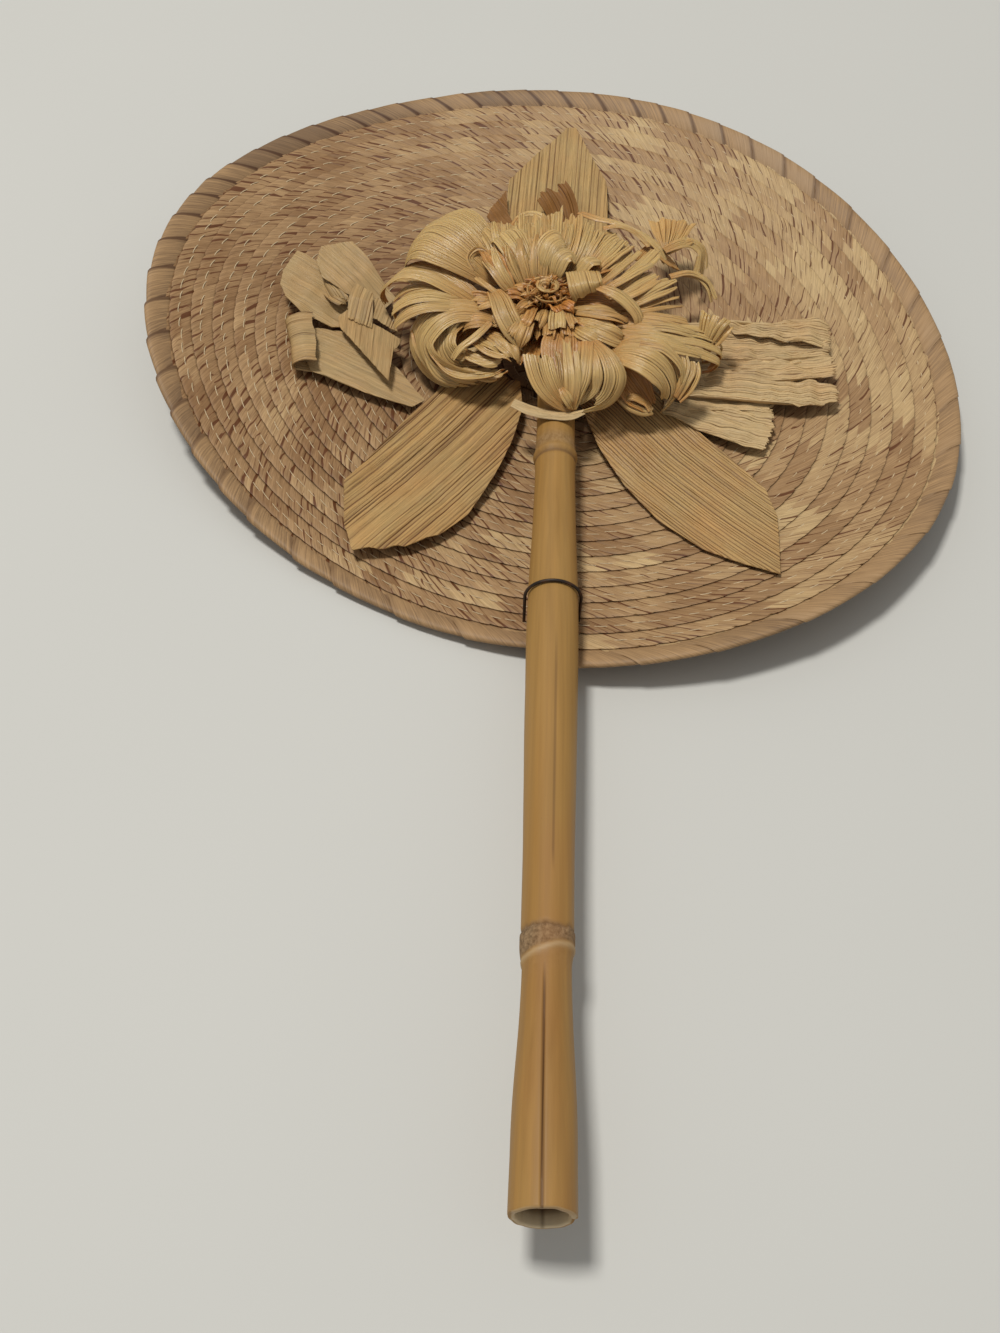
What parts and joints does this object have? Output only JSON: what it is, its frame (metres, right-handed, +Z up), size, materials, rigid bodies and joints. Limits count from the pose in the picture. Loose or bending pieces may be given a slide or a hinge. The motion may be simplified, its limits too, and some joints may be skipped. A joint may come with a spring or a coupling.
{
  "type": "palm leaf hand fan",
  "caption": "Round hand fan of spiral-sewn palm braid with a bound rim, wired to a bamboo handle and dressed with a dried husk flower, pointed leaves and loose ribbons.",
  "frame": {"origin": "middle of the foot of the fan's bounding box, on the surface it lies on", "axes": "+Z up, out of the flower side; +Y from the handle's open end towards the far rim; +X to the right as seen from the handle"},
  "size_m": [0.3228, 0.5018, 0.0446],
  "materials": {
    "palm_braid": "dull dried palm leaf, plaited, pinkish tan to straw",
    "palm_binding": "one smooth strip of dried palm leaf folded over the rim, dull sheen",
    "bamboo": "natural golden bamboo skin, half gloss, with scurfy nodes",
    "wire": "dark annealed wire, dull",
    "husk_petal": "dried ribbed husk, pale cream with orange-tan roots, satin",
    "husk_leaf": "dried ribbed husk, golden tan, satin",
    "husk_ribbon": "dried husk torn in strips, pale cream, dull",
    "brown_husk": "thick dried husk, brown, dull",
    "thread": "undyed twine, dull"
  },
  "bodies": {
    "root": {"braid_coil": "palm_braid", "rim_binding": "palm_binding", "bamboo_handle": "bamboo", "lower_wire_tie": "wire", "upper_wire_tie": "wire", "flower_core": "husk_petal", "flower_thread": "thread", "petal_right": "husk_petal", "petal_upper_right": "husk_petal", "petal_top_right": "husk_petal", "petal_top": "husk_petal", "petal_upper_left": "husk_petal", "petal_left": "husk_petal", "petal_lower_left": "husk_petal", "petal_lower": "husk_petal", "petal_lower_right": "husk_petal", "inner_petal_1": "husk_petal", "inner_petal_2": "husk_petal", "inner_petal_3": "husk_petal", "inner_petal_4": "husk_petal", "inner_petal_5": "husk_petal", "inner_petal_6": "husk_petal", "inner_petal_7": "husk_petal", "inner_petal_8": "husk_petal", "top_leaf": "husk_leaf", "left_leaf": "husk_leaf", "right_leaf": "husk_leaf", "left_upper_ribbon": "husk_ribbon", "left_lower_ribbon": "husk_ribbon", "right_upper_ribbon": "husk_ribbon", "right_middle_ribbon": "husk_ribbon", "right_lower_ribbon": "husk_ribbon", "brown_bract": "brown_husk", "loose_strip": "husk_ribbon"}
  },
  "joints": []
}
